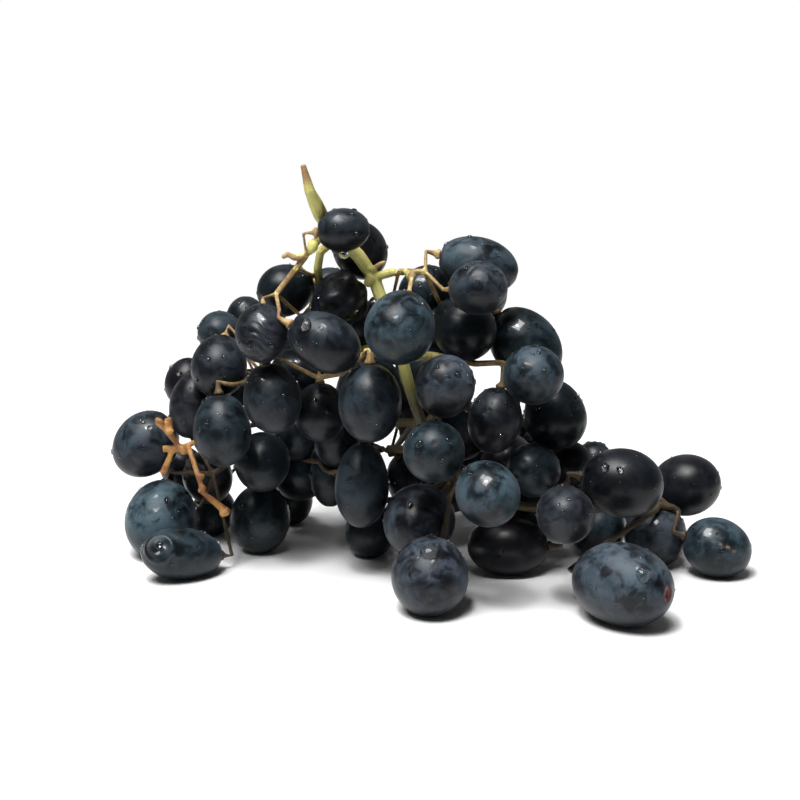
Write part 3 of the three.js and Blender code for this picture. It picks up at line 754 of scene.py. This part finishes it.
class Shade:
    """A value in a material. Sums on it add the nodes that work them out."""

    def __init__(self, tree, socket=None):
        self.tree, self.socket = tree, socket

    def make(self, kind, settings=None, inputs=None, output=0):
        """A node of a kind, with its settings and then the values or links of its sockets."""
        node = self.tree.nodes.new(kind)
        for name, value in (settings or {}).items():
            setattr(node, name, value)
        for name, value in (inputs or {}).items():
            if isinstance(value, Shade):
                self.tree.links.new(value.socket, node.inputs[name])
            else:
                node.inputs[name].default_value = value
        return Shade(self.tree, node.outputs[output] if node.outputs else None)

    def sum_of(self, operation, first, second):
        return self.make("ShaderNodeMath", {"operation": operation}, {0: first, 1: second})

    def __add__(self, other):
        return self.sum_of("ADD", self, other)

    def __radd__(self, other):
        return self.sum_of("ADD", other, self)

    def __sub__(self, other):
        return self.sum_of("SUBTRACT", self, other)

    def __rsub__(self, other):
        return self.sum_of("SUBTRACT", other, self)

    def __mul__(self, other):
        return self.sum_of("MULTIPLY", self, other)

    def __rmul__(self, other):
        return self.sum_of("MULTIPLY", other, self)

    def between(self, low, high):
        """Eases from 0 at low to 1 at high."""
        return self.make("ShaderNodeMapRange", {"interpolation_type": "SMOOTHSTEP"}, {0: self, 1: low, 2: high})

    def mixed(self, first, second):
        """A colour between two, by this value."""
        return self.make("ShaderNodeMix", {"data_type": "RGBA"}, {0: self, 6: first, 7: second}, 2)

    def number(self, label):
        """A number kept on the mesh."""
        return self.make("ShaderNodeAttribute", {"attribute_name": label}, output=2)

    def noise(self, pitch, detail=2.0, distortion=0.0):
        """Soft clouds of about a pitch in millimetres."""
        where = self.make("ShaderNodeTexCoord", output=3)
        sizes = {"Vector": where, "Scale": 1 / (pitch * MM), "Detail": detail, "Distortion": distortion}
        return self.make("ShaderNodeTexNoise", inputs=sizes)

    def bump(self, height, depth):
        """A normal from a height of 0 to 1 that stands for a depth in millimetres."""
        return self.make("ShaderNodeBump", inputs={"Height": height, "Distance": depth * MM, "Strength": 1.0})

    def surface(self, sockets):
        """The finished surface, from the values of the principled shader's sockets."""
        shader = self.make("ShaderNodeBsdfPrincipled", inputs=sockets)
        self.make("ShaderNodeOutputMaterial", inputs={"Surface": shader})


def new_material(name):
    material = bpy.data.materials.new(name)
    material.use_nodes = True
    material.node_tree.nodes.clear()
    return material, Shade(material.node_tree)


NAVY = (0.0025, 0.0040, 0.0055, 1)
PLUM = (0.0042, 0.0034, 0.0048, 1)
BLOOM = (0.073, 0.126, 0.157, 1)
MAUVE_BLOOM = (0.080, 0.098, 0.128, 1)
SHEEN_BLUE = (0.75, 0.86, 1.0, 1)
SCAR_BROWN = (0.045, 0.030, 0.022, 1)
WOUND_RED = (0.13, 0.013, 0.010, 1)
WOUND_PIT = (0.018, 0.003, 0.003, 1)
SCAB_TAN = (0.30, 0.17, 0.11, 1)
LEAST_FROST = 0.08  # the bloom that even a rubbed berry keeps


def grape_skin():
    """A dark, taut skin under a patchy dust of wax, rubbed off in places and wet in others; the dust also
    carries painted shade, lighter on tops and darker on undersides.
    """
    material, shade = new_material("grape_skin")
    clouds = shade.noise(11, 3, 0.4)
    smears = shade.noise(4.5, 4, 1.2)
    grain = shade.noise(0.5, 2)
    rubbed = shade.noise(6.5, 2, 0.6).between(0.56, 0.66)
    # painted shade: the bloom number from the mesh is larger on a berry's top and smaller underneath, so tops
    # are painted lighter
    frost = LEAST_FROST + shade.number("frost")
    dusted = (0.55 * clouds + 0.45 * smears).between(0.36, 0.66)
    bloom_and_shade = dusted * frost * (0.55 + 0.6 * grain) * (1 - 0.75 * rubbed)
    skin = (0.5 * shade.number("tint") + 0.5 * clouds).between(0.3, 0.7).mixed(NAVY, PLUM)
    dust = (smears + 0.4 * shade.number("tint")).between(0.5, 1.0).mixed(BLOOM, MAUVE_BLOOM)
    colour = (0.95 * bloom_and_shade).mixed(skin, dust)
    colour = (0.8 * shade.number("scar")).mixed(colour, SCAR_BROWN)
    colour = shade.number("scab").mixed(colour, SCAB_TAN)
    wound = shade.number("wound")
    colour = wound.between(0.1, 0.4).mixed(colour, wound.between(0.65, 1.0).mixed(WOUND_RED, WOUND_PIT))
    wet = shade.noise(9, 1, 0.8).between(0.54, 0.62) * shade.number("upper")
    shade.surface({
        "Base Color": colour,
        "Roughness": 0.30 + 0.30 * bloom_and_shade + 0.06 * grain,
        "Coat Weight": 0.7 * wet,
        "Coat Roughness": 0.08,
        "Specular IOR Level": 0.22,
        "Sheen Weight": 0.05,
        "Sheen Roughness": 0.35,
        "Sheen Tint": SHEEN_BLUE,
        "Normal": shade.bump(0.5 * grain + 0.5 * smears, 0.05),
    })
    return material


LEAF_GREEN = (0.52, 0.50, 0.11, 1)
PALE_GREEN = (0.74, 0.68, 0.27, 1)
GOLD_BROWN = (0.52, 0.385, 0.165, 1)
DARK_BROWN = (0.22, 0.12, 0.05, 1)
TIP_BROWN = (0.34, 0.20, 0.09, 1)
# painted shade: the near black of low stems inside the heap
PAINTED_SHADE_BROWN = (0.030, 0.019, 0.011, 1)
RUST = (0.18, 0.065, 0.02, 1)
ORANGE_TAN = (0.42, 0.22, 0.065, 1)
FRESH_THICKNESS = (2.2, 2.9)  # thinner stems have browned, thicker ones are still green
DRY_TIP = (-6, 1)  # from the top of the bunch, where its cut end has dried


def stem_bark(top):
    """Green on thick stems, brown on thin ones, tan where berries are lost, and darkened to near black low in
    the heap as painted shade.
    """
    material, shade = new_material("stem_bark")
    patchy = shade.noise(5, 3)
    streaks = shade.noise(1.2, 4, 0.5)
    pores = shade.noise(0.45, 2)
    green = patchy.mixed(LEAF_GREEN, PALE_GREEN)
    brown = (0.6 * patchy + 0.4 * streaks).between(0.35, 0.68).mixed(DARK_BROWN, GOLD_BROWN)
    tan = (0.6 * patchy + 0.4 * streaks).between(0.35, 0.68).mixed(RUST, ORANGE_TAN)
    fresh = (shade.number("thick") + 0.5 * patchy).between(*FRESH_THICKNESS) * (1 - shade.number("collar"))
    colour = shade.number("bared").mixed(fresh.mixed(brown, green), tan)
    # painted shade: low stems inside the heap go near black
    colour = (0.94 * shade.number("painted_inner_shade")).mixed(colour, PAINTED_SHADE_BROWN)
    dry = (shade.number("height") + 5 * patchy).between(top + DRY_TIP[0], top + DRY_TIP[1])
    colour = dry.mixed(colour, TIP_BROWN)
    shade.surface({
        "Base Color": colour,
        "Roughness": 0.46 + 0.2 * streaks,
        "Specular IOR Level": 0.4,
        "Normal": shade.bump(0.6 * streaks + 0.4 * pores, 0.25),
    })
    return material


def water():
    material, shade = new_material("water")
    shade.surface({"Base Color": (1, 1, 1, 1), "Roughness": 0.02, "IOR": 1.33, "Transmission Weight": 1.0})
    return material


# Stage

FLOOR_RADIUS = 600
FLOOR_FADE = (190, 460)  # from here to there the floor fades into the backdrop
FLOOR_SIDES = 96
FLOOR_DROP = 0.05
FLOOR_WHITES = ((0.91, 0.91, 0.91, 1), (0.94, 0.94, 0.94, 1))
ROOM_LIGHT, BACKDROP_LIGHT = 0.04, 0.2
BACKDROP_FROM = (-0.2, 0.9)  # how far back the room turns into the backdrop, on a ball of one unit
LAMPS = {
    "overhead": {"place": (-300, -330, 1350), "size": 900, "watts": 34},
    "sparkle": {"place": (-150, -350, 900), "size": 120, "watts": 3},
}


def pale_floor():
    material, shade = new_material("pale_floor")
    where = shade.make("ShaderNodeTexCoord", output=3)
    out = shade.make("ShaderNodeVectorMath", {"operation": "LENGTH"}, {0: where}, 1)
    shade.surface({
        "Base Color": shade.noise(60, 2).mixed(*FLOOR_WHITES),
        "Roughness": 0.55,
        "Alpha": 1 - out.between(FLOOR_FADE[0] * MM, FLOOR_FADE[1] * MM),
    })
    return material


def make_floor():
    turns = 2 * np.pi * np.arange(FLOOR_SIDES) / FLOOR_SIDES
    level = np.full(FLOOR_SIDES, -FLOOR_DROP)
    rim = np.stack([FLOOR_RADIUS * np.cos(turns), FLOOR_RADIUS * np.sin(turns), level], axis=1)
    floor = new_piece("floor", rim, [tuple(range(FLOOR_SIDES))], pale_floor(), {})


def studio():
    """A white backdrop behind the bunch and a darker room in front of it."""
    world = bpy.data.worlds.new("studio")
    world.use_nodes = True
    world.node_tree.nodes.clear()
    shade = Shade(world.node_tree)
    way = shade.make("ShaderNodeTexCoord", output=0)
    back = shade.make("ShaderNodeSeparateXYZ", inputs={0: way}, output=1)
    light = ROOM_LIGHT + (BACKDROP_LIGHT - ROOM_LIGHT) * back.between(*BACKDROP_FROM)
    seen = shade.make("ShaderNodeLightPath", output=0)
    strength = light + seen * (1 - light)
    lit = shade.make("ShaderNodeBackground", inputs={"Color": (1, 1, 1, 1), "Strength": strength})
    shade.make("ShaderNodeOutputWorld", inputs={"Surface": lit})
    return world


def make_lights():
    for name, lamp in LAMPS.items():
        light = bpy.data.lights.new(name, "AREA")
        light.size, light.energy = lamp["size"] * MM, lamp["watts"]
        stand = put_in_scene(name, light)
        stand.location = Vector(lamp["place"]) * MM
        aim = Vector(SIGHT_AIM) * MM - stand.location
        stand.rotation_euler = aim.to_track_quat("-Z", "Y").to_euler()
    bpy.context.scene.world = studio()


def make_camera():
    camera = bpy.data.cameras.new("camera")
    camera.sensor_width = SENSOR
    camera.lens = SENSOR * SIGHT_DISTANCE / PICTURE_WIDTH
    camera.clip_start, camera.clip_end = CLIP_METRES
    holder = put_in_scene("camera", camera)
    holder.location = Vector(EYE) * MM
    holder.rotation_euler = Vector(-TOWARD).to_track_quat("-Z", "Y").to_euler()
    bpy.context.scene.camera = holder


def main():
    make_camera()
    make_lights()
    make_floor()
    bpy.context.scene.view_settings.view_transform = "Standard"
    sprays = sorted(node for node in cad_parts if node.startswith("spray"))
    read = {node: read_spray(node) for node in sprays}
    berries = [berry for some, _branch in read.values() for berry in some]
    put_marks(berries)
    skin = grape_skin()
    pieces = [make_berries(node, some, skin) for node, (some, _branch) in read.items()]
    branches = [branch for _some, branch in read.values()]
    pieces.append(make_stems(welded("rachis"), branches, berries, stem_bark(CAD_BOX[1][2] / MM)))
    pieces.append(make_drops(berries, water()))
    for piece in pieces:
        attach(piece, "root")


main()
